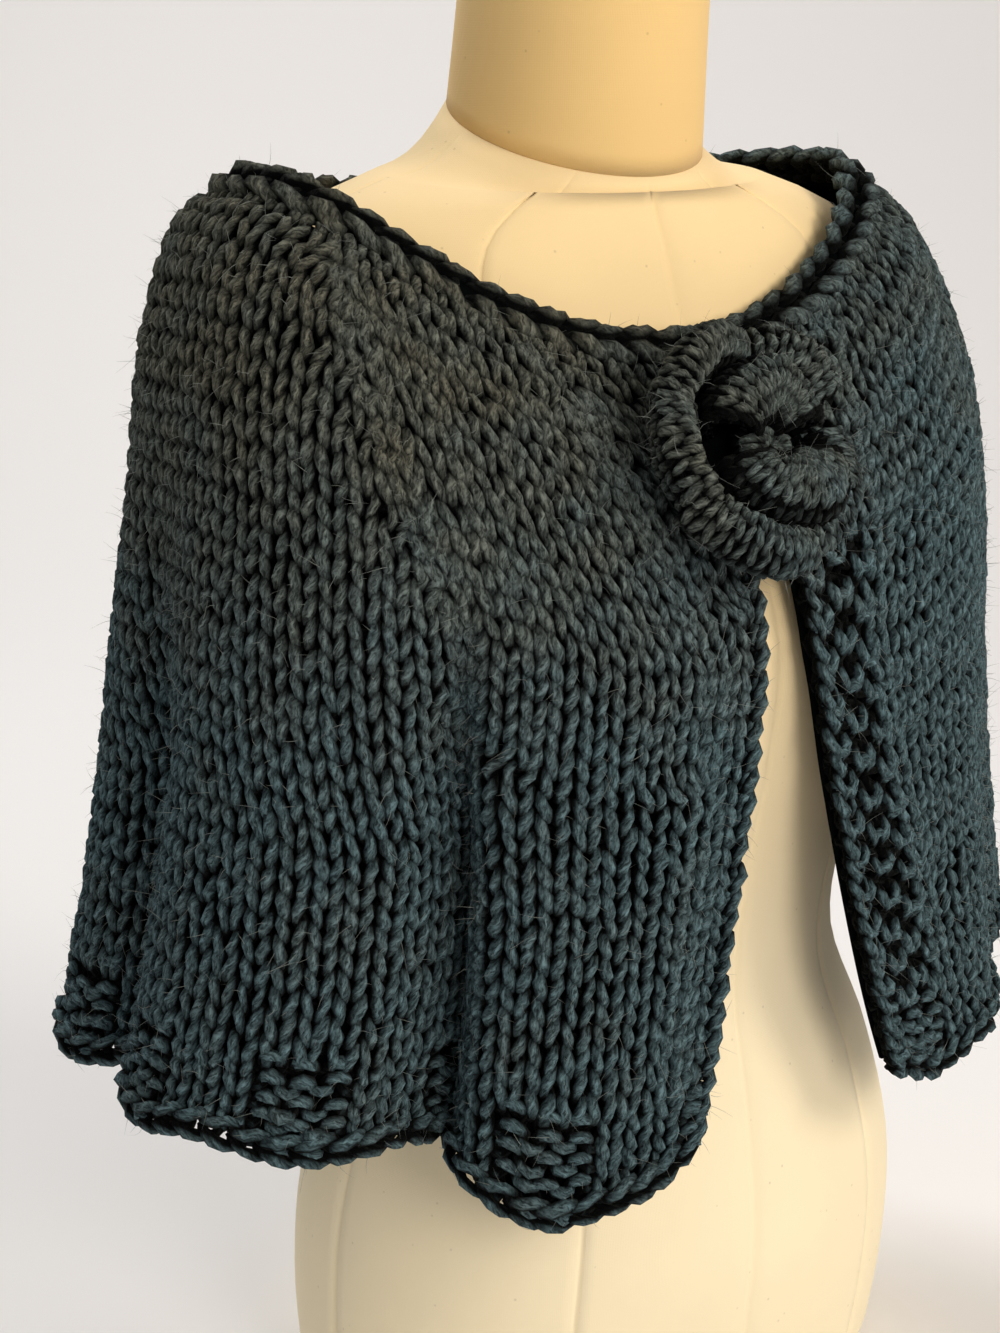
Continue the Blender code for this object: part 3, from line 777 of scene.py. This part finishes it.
def knit_section(name, plan, top, bottom, purl_pattern=None, place=None):
    """Knits the rows of a section and lays its backing sheet."""
    rng = np.random.default_rng(sum(map(ord, name)))
    place = place or section_place(plan)
    strands = new_strands(rng)
    for row in range(top, bottom):
        count = plan["counts"][row]
        first_wale = -plan["anchor"] * count
        purled = None
        if purl_pattern is not None:
            purled = purl_pattern(first_wale + np.arange(count) + 0.5, row)
        knit_row(strands, place, rng, count, first_wale, row, purled)
    loops = yarn_object(name + "_stitches", strands)
    fuzz_roots.append(strands)
    rows = np.linspace(top, bottom, 2 * (bottom - top) + 1)
    most = int(plan["counts"][top:bottom].max())
    shares = np.linspace(0, 1, 2 * most + 1)
    count = np.interp(rows, np.arange(ROWS) + 0.5, plan["counts"])[:, None]
    wale = (shares[None, :] - plan["anchor"]) * count
    level = np.broadcast_to(rows[:, None], wale.shape)
    sheet = backing_sheet(name + "_cloth", place(wale, level))
    state_sheet(
        sheet, loops, [name],
    )


# The backing of a rolled edge lies closer behind its loops.
ROLLED_OFFSET = -0.0012


def chain(name, points, outward, aside, stitch, width, round_over, tip, fat, nodes=()):
    """A chain of stitches along an edge. Each loop lies along the edge and is pulled through the last. The
    chain is bent round an oval core of half sizes round_over, and tip turns its face towards aside. A chain
    that stands for CAD nodes gets a backing sheet too."""
    rng = np.random.default_rng(sum(map(ord, name)))
    steps = np.linalg.norm(np.diff(points, axis=0), axis=1)
    travelled = np.concatenate([[0.0], np.cumsum(steps)])
    count = max(int(round(travelled[-1] / stitch)), 1)
    half_out, half_aside = round_over
    core = (half_out + half_aside) / 2

    def place(along, crosswise):
        at = np.clip(along / count, -0.01, 1.01) * travelled[-1]
        centre, out, side = (
            np.stack([np.interp(at, travelled, field[:, i]) for i in range(3)], -1)
            for field in (points, outward, aside)
        )
        bend = crosswise * width / core + tip
        ahead, over = np.cos(bend)[..., None], np.sin(bend)[..., None]
        face = ahead / half_out * out + over / half_aside * side
        return centre + ahead * half_out * out + over * half_aside * side, unit(face)

    strands = new_strands(rng)
    turn = np.linspace(0, 2 * np.pi, RINGS_PER_STITCH + 1)
    for i in range(count):
        crosswise = turn / (2 * np.pi) - 0.5 + LOOP_SWING * np.sin(2 * turn)
        crosswise = crosswise * (1 + rng.normal(0, 0.06)) + rng.normal(0, 0.03)
        along = i + 0.5 + LOOP_REACH * (1 + rng.normal(0, 0.05)) * np.cos(turn) + rng.normal(0, 0.06)
        forward = -np.cos(2 * turn)
        lie = 0.5 + 0.5 * forward
        point, face = place(along, crosswise)
        fullness = (0.85 + 0.2 * np.clip(lie, 0, 1)) * (1 + rng.normal(0, 0.05, len(turn)))
        fullness = fullness * (1 + rng.normal(0, 0.07))
        yarn_strand(
            strands, point + face * (LOOP_DEPTH * forward)[:, None], face,
            YARN_HALF_WIDTH * fat * fullness, YARN_HALF_DEPTH * fat * fullness, lie,
        )
    loops = yarn_object(name + "_chain", strands)
    fuzz_roots.append(strands)
    if not nodes:
        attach(loops, "root")
        return loops
    half_stitches, shares = np.linspace(0, count, 2 * count + 1), np.linspace(-0.5, 0.5, 9)
    along, crosswise = np.meshgrid(half_stitches, shares, indexing="ij")
    sheet = backing_sheet(name + "_cloth", place(along, crosswise), ROLLED_OFFSET)
    state_sheet(sheet, loops, nodes)
    return loops


plans = {}
for name, first, last, anchor, gained in SECTIONS:
    plans[name] = section_plan(first, last, anchor, gained)


def bumpy_band(wale, row):
    """Seed stitch: purl on alternate stitches and rows."""
    return (np.floor(wale).astype(int) + row) % 2 == 0


def seam_line(seam, first_row, last_row, lift):
    """Points down a seam, with the directions outwards and round the body."""
    rows = np.linspace(first_row, last_row, 90)
    drops = drop_of_row(rows)
    point, outward, down = cloth_frame(seam_angle(seam, drops), drops)
    return point + outward * lift, outward, unit(np.cross(down, outward))


# A column of slightly raised stitches runs down each line where the sections grow.
LINE_LIFT = 0.0002
LINE_CORE = 0.020
LINE_FAT = 1.04
line_chains = {}
for line in ("right_band", "right_raglan", "back_right", "back_left", "left_raglan", "left_band"):
    points, outward, aside = seam_line(line, 0.0, HEM_ROW, LINE_LIFT - LINE_CORE)
    line_chains[line] = chain(
        line + "_line", points, outward, aside, ROW, WALE, (LINE_CORE, LINE_CORE), 0.0, LINE_FAT
    )

# Down each front edge the last stitches roll over, one round the other, into a narrow cord.
EDGE_ROLL = (0.0042, 0.0044)
ROLL_LIFT = -0.0012
ROLL_INSET = 0.0030
ROLL_TIP = 0.7
ROLL_FAT = 0.92
front_edges = {}
for edge, turned in (("right_edge", -1), ("left_edge", 1)):
    points, outward, aside = seam_line(edge, 0.0, ROWS, ROLL_LIFT)
    inwards = aside * -turned
    front_edges[edge] = chain(
        edge, points + inwards * ROLL_INSET, outward, inwards, ROW, WALE, EDGE_ROLL, ROLL_TIP, ROLL_FAT
    )

for name, first, last, anchor, gained in SECTIONS:
    pattern = bumpy_band if name == "left_front_band" else None
    others = [line_chains[first]] if first in line_chains else []
    others += [front_edges[seam] for seam in (first, last) if seam in front_edges]
    knit_section(name, plans[name], 0, HEM_ROW, pattern)


# ---- Hem band --------------------------------------------------------------------------------------
# The last four rows are a band of small blocks, three stitches purl and then three plain, which swell and
# draw in by turns, so that the hem is softly scalloped. A cast-off chain finishes its lower edge.
HEM_SECTIONS = (
    # name, first seam, last seam
    ("hem_right_front", "right_edge", "right_raglan"),
    ("hem_right_shoulder", "right_raglan", "back_right"),
    ("hem_back", "back_right", "back_left"),
    ("hem_left_shoulder", "back_left", "left_raglan"),
    ("hem_left_front", "left_raglan", "left_edge"),
)
BLOCK_STITCHES = 3
SCALLOP = 0.0028
SWELL = 0.0016
HEM_DRAW = 0.82
CAST_OFF_ROLL = (0.0042, 0.0046)
CAST_OFF_TIP = 0.25


def hem_blocks(wale, row):
    """Blocks of purl and of plain stitches by turns."""
    return np.floor(wale / BLOCK_STITCHES).astype(int) % 2 == 0


def hem_place(plan):
    """A function from stitches and rows to the hem's surface, with its blocks swelling by turns."""
    def place(wale, row):
        point, outward = section_place(plan)(wale, HEM_ROW + (row - HEM_ROW) * HEM_DRAW)
        wave = np.cos(np.pi * (wale / BLOCK_STITCHES - 0.5))
        grown = np.clip((row - HEM_ROW) / (ROWS - HEM_ROW), 0, 1)
        drop = np.stack([np.zeros_like(wave), np.zeros_like(wave), -SCALLOP * wave * grown], -1)
        return point + drop + outward * (SWELL * wave * np.sin(np.pi * grown))[..., None], outward
    return place


for name, first, last in HEM_SECTIONS:
    plan = section_plan(first, last, 0.5, 2)
    place = hem_place(plan)
    count = plan["counts"][-1]
    wale = np.linspace(-count / 2, count / 2, 8 * count + 1)
    edge_points, edge_outward = place(wale, np.full_like(wale, ROWS + 0.05))
    above = place(wale, np.full_like(wale, ROWS - 0.85))[0]
    cast_off = chain(
        name + "_edge", edge_points, edge_outward, unit(edge_points - above), WALE * 0.95, WALE * 1.05,
        CAST_OFF_ROLL, CAST_OFF_TIP, 1.0,
    )
    knit_section(name, plan, HEM_ROW, ROWS, hem_blocks, place)


# ---- Neck edge -------------------------------------------------------------------------------------
# The stitches at the neck are cast off in a thick chain that rolls outwards, in the same yarn.
EDGE_DEPTH = 0.016
EDGE_THICKNESS = 0.013
EDGE_LIFT = 0.0028
EDGE_DROP = -0.0048
EDGE_STITCH = 0.0160
EDGE_WIDTH = 0.0195
EDGE_FAT = 1.45
EDGE_CORE = (EDGE_THICKNESS / 2 - 0.0026, EDGE_DEPTH / 2 - 0.0020)
# At the front the chain ends a little short of the front edges.
EDGE_SHORT = math.radians(3)
EDGE_POINTS = 160
for name, first, last in HEM_SECTIONS:
    node = name.replace("hem_", "neck_edge_")
    angles = np.linspace(float(seam_angle(first, 0.0)), float(seam_angle(last, 0.0)), EDGE_POINTS)
    if first == "right_edge":
        angles += np.linspace(EDGE_SHORT, 0, EDGE_POINTS)
    if last == "left_edge":
        angles -= np.linspace(0, EDGE_SHORT, EDGE_POINTS)
    point, outward, down = cloth_frame(angles, np.zeros_like(angles))
    chain(
        node, point + down * EDGE_DROP + outward * EDGE_LIFT, outward, -down, EDGE_STITCH, EDGE_WIDTH,
        EDGE_CORE, 0.0, EDGE_FAT, [node],
    )


# ---- Rose ------------------------------------------------------------------------------------------
# A long knitted strip is folded over and rolled into a rose, and sewn to a round pad that closes the front.
# Each stretch of the strip that shows is a petal: a fold of cloth that stands up and curls outwards. The
# petals' middles are degrees from the top of the rose, growing towards the form's own right.
ROSE_DROP = 0.128
ROSE_ANGLE = math.radians(-1)
ROSE_FACE = 0.0105
PETALS = (
    # name, middle, span, foot_radius, rim_radius, height, thickness, aside, up
    ("rose_outer_strip", 236, 90, 0.037, 0.0500, 0.017, 0.0135, 0.0, 0.0),
    ("rose_upper_left_petal", 321, 50, 0.038, 0.0585, 0.027, 0.0205, 0.0, 0.0),
    ("rose_upper_right_petal", 24, 66, 0.040, 0.0535, 0.029, 0.0125, 0.0, 0.0),
    ("rose_right_petal", 88, 70, 0.039, 0.0520, 0.027, 0.0130, 0.0, 0.0),
    ("rose_bottom_petal", 156, 76, 0.036, 0.0550, 0.020, 0.0190, 0.0, 0.0),
    ("rose_inner_cup", 180, 176, 0.006, 0.0320, 0.031, 0.0255, -0.007, -0.0045),
    ("rose_inner_curl", 358, 156, 0.006, 0.0310, 0.031, 0.0240, -0.006, 0.0050),
)
PETAL_WALE = 0.0100
PETAL_ROW = 0.0080
PETAL_FAT = 0.84
PETAL_BACKING = -0.0022
PETAL_DEPTH = LOOP_DEPTH * 0.55
RUFFLE = 0.0012
RUFFLE_WAVES = 5
ENDS_DRAWN_IN = 0.003
ENDS_LOWERED = 0.55
# A petal's yarn gets painted shade from the first of the heights up to the second: deep on the inner half
# of the fold, slight on its outer half. The petals deep in the rose get painted shade all round, and at
# their ends too.
PETAL_SHADE_HEIGHTS = (0.56, 0.90)
PETAL_END_SHARES = (-0.02, 0.10)
PETAL_SHADES = (0.20, 1.0)
OUTER_SHADES = (0.85, 1.0)
DEEP_PETALS = ("rose_inner_cup", "rose_inner_curl", "rose_bud")
PAD_LIFT = 0.0045
PAD_POINTS = 40
PAD_RINGS = (
    # height, radius
    (0.0005, 0.0410),
    (0.0030, 0.0425),
    (0.0055, 0.0410),
    (0.0060, 0.0300),
    (0.0060, 0.0120),
)

rose_point, rose_out, rose_down = cloth_frame(np.array(ROSE_ANGLE), np.array(ROSE_DROP))
rose_right = unit(np.cross(rose_down, rose_out))
rose_up = np.cross(rose_right, rose_out)


def petal_fold(foot_radius, rim_radius, height, thickness):
    """The section of a folded petal, from its inner foot over the rim to its outer foot: distances from
    the rose's middle, heights over the pad, and the lengths along the fold."""
    inner = rim_radius - thickness + 0.001
    curl = thickness / 2
    bends = np.linspace(math.pi, -0.35, 15)
    away = inner + curl + curl * np.cos(bends)
    rise = height - curl + curl * np.sin(bends)
    away = np.concatenate([[foot_radius - 0.002], away, [away[-1] - 0.005]])
    rise = np.concatenate([[0.0], rise, [0.004]])
    lengths = np.concatenate([[0.0], np.cumsum(np.hypot(np.diff(away), np.diff(rise)))])
    return away, rise, lengths


def knit_petal(name, middle, span, foot_radius, rim_radius, height, thickness, aside, up, taper_ends=True):
    """Knits one fold of the rose and lays its backing sheet. Tapered ends are lower and drawn inwards."""
    rng = np.random.default_rng(sum(map(ord, name)))
    away, rise, lengths = petal_fold(foot_radius, rim_radius, height, thickness)
    rows = max(int(round(lengths[-1] / PETAL_ROW)), 3)
    count = max(int(round(math.radians(span) * rim_radius / PETAL_WALE)), 3)
    slope_away, slope_rise = np.gradient(away, lengths), np.gradient(rise, lengths)

    def place(wale, row):
        part = np.clip(wale / count, -0.06, 1.06)
        turn = np.radians(middle + (part - 0.5) * span)
        along = np.clip(row / rows, 0, 1) * lengths[-1]
        taper = np.sin(np.pi * (0.12 + 0.76 * part)) if taper_ends else np.ones_like(part)
        raised = np.interp(along, lengths, rise)
        ruffle = RUFFLE * np.sin(turn * RUFFLE_WAVES + height * 900) * raised / height
        radius = np.interp(along, lengths, away) + ruffle - ENDS_DRAWN_IN * (1 - taper)
        lift = raised * (1 - ENDS_LOWERED * (1 - taper))
        direction = np.sin(turn)[..., None] * rose_right + np.cos(turn)[..., None] * rose_up
        point = rose_point + rose_right * aside + rose_up * up + direction * radius[..., None]
        point = point + rose_out * (ROSE_FACE + 0.002 + lift)[..., None]
        sideways = np.interp(along, lengths, -slope_rise)[..., None]
        forwards = np.interp(along, lengths, slope_away)[..., None]
        return point, unit(direction * sideways + rose_out * forwards)

    strands = new_strands(rng)
    for row in range(rows):
        knit_row(strands, place, rng, count, 0, row, None, PETAL_FAT, PETAL_DEPTH)
        # Painted shade: the row's lie is lowered low in the fold, and towards the ends of the deep petals.
        raised = np.interp((row + 0.5) / rows * lengths[-1], lengths, rise) / height
        shaded = name in DEEP_PETALS or row + 0.5 < rows / 2
        shades = PETAL_SHADES if shaded else OUTER_SHADES
        strands["lie"][-1] *= np.interp(raised, PETAL_SHADE_HEIGHTS, shades)
        if name in DEEP_PETALS:
            from_start = np.linspace(0, 1, len(strands["lie"][-1]))
            from_end = np.minimum(from_start, 1 - from_start)
            strands["lie"][-1] *= np.interp(from_end, PETAL_END_SHARES, PETAL_SHADES)
    loops = yarn_object(name + "_stitches", strands)
    fuzz_roots.append(strands)
    wale, level = np.meshgrid(np.linspace(0, count, 3 * count + 1), np.linspace(0, rows, 3 * rows + 1))
    sheet = backing_sheet(name + "_cloth", place(wale, level), PETAL_BACKING)
    state_sheet(sheet, loops, [name])


turns = np.linspace(0, 2 * np.pi, PAD_POINTS, endpoint=False)
directions = np.sin(turns)[:, None] * rose_right + np.cos(turns)[:, None] * rose_up
rings = [rose_point + rose_out * (PAD_LIFT + level) + radius * directions for level, radius in PAD_RINGS]
# The pad takes the nearly black painted shade of the backing sheets.
rose_pad = add_mesh("rose_pad", np.concatenate(rings), ring_faces(len(rings), PAD_POINTS), backing)
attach(rose_pad, "root")
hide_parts("rose_base")
for petal in PETALS:
    knit_petal(*petal)
knit_petal("rose_bud", 0, 300, 0.0045, 0.0110, 0.013, 0.0110, -0.006, 0.0, False)


# ---- Fuzz ------------------------------------------------------------------------------------------
# Fine fibres stand up from the yarn all over, curved and of uneven length.
HAIRS = 8000
HAIR_LENGTH = 0.0046
LONGEST_HAIR = 0.0085
HAIR_RADIUS = 0.00011
HAIR_TAPER = (1.0, 0.85, 0.6, 0.25)
HAIR_SIDES = 3
HAIR_BEND = 0.45
FORWARD_ENOUGH = 0.7


def hair_finish():
    """Single fibres: a little glossier and paler than the yarn that they stand up from."""
    made, tree, shader = new_material("loose_fibre", "#7c8583", 0.7, [("Specular IOR Level", 0.3)])
    where = add_node(tree, "TexCoord")
    cloud = add_node(
        tree, "TexNoise", [("Scale", 60.0), ("Detail", 1.0)], [("Vector", where.outputs["Object"])]
    )
    tone = add_node(
        tree, "Mix",
        [("data_type", "RGBA"), (6, linear_colour("#3e4543")), (7, linear_colour("#a9b0ab"))],
        [(0, cloud)],
    )
    tree.links.new(tone.outputs[2], shader.inputs["Base Color"])
    return made


rng = np.random.default_rng(7)
centres = np.concatenate([c for strands in fuzz_roots for c in strands["centres"]])
outwards = np.concatenate([c for strands in fuzz_roots for c in strands["outward"]])
lies = np.concatenate([c for strands in fuzz_roots for c in strands["lie"]])
forward_ones = np.nonzero(lies > FORWARD_ENOUGH)[0]
chosen = rng.choice(forward_ones, HAIRS, replace=False)
roots = centres[chosen] + outwards[chosen] * YARN_HALF_DEPTH * 0.7
heading = unit(outwards[chosen] * 0.75 + rng.normal(0, 0.75, (HAIRS, 3)))
swerve = rng.normal(0, 1.0, (HAIRS, 3)) - np.array((0, 0, 0.25))
lengths = np.minimum(HAIR_LENGTH * rng.lognormal(0, 0.45, HAIRS), LONGEST_HAIR)
hair_steps = np.linspace(0, 1, len(HAIR_TAPER))
lines = (
    roots[:, None, :]
    + heading[:, None, :] * (lengths[:, None] * hair_steps)[..., None]
    + swerve[:, None, :] * (lengths[:, None] * hair_steps**2 * HAIR_BEND)[..., None]
)
aside = unit(np.cross(heading, (0.3, 0.2, 0.93)))
beside = np.cross(heading, aside)
turns = 2 * np.pi * np.arange(HAIR_SIDES) / HAIR_SIDES
cosines, sines = np.cos(turns)[None, :, None], np.sin(turns)[None, :, None]
circle = cosines * aside[:, None, :] + sines * beside[:, None, :]
taper = HAIR_RADIUS * np.array(HAIR_TAPER)
hair_points = (lines[:, :, None, :] + circle[:, None, :, :] * taper[None, :, None, None]).reshape(-1, 3)
one_hair = ring_faces(len(HAIR_TAPER), HAIR_SIDES)
hair_faces = []
for first_point in range(0, len(hair_points), len(HAIR_TAPER) * HAIR_SIDES):
    hair_faces += [tuple(first_point + i for i in face) for face in one_hair]
fuzz = add_mesh("yarn_fuzz", hair_points, hair_faces, hair_finish())
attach(fuzz, "root")
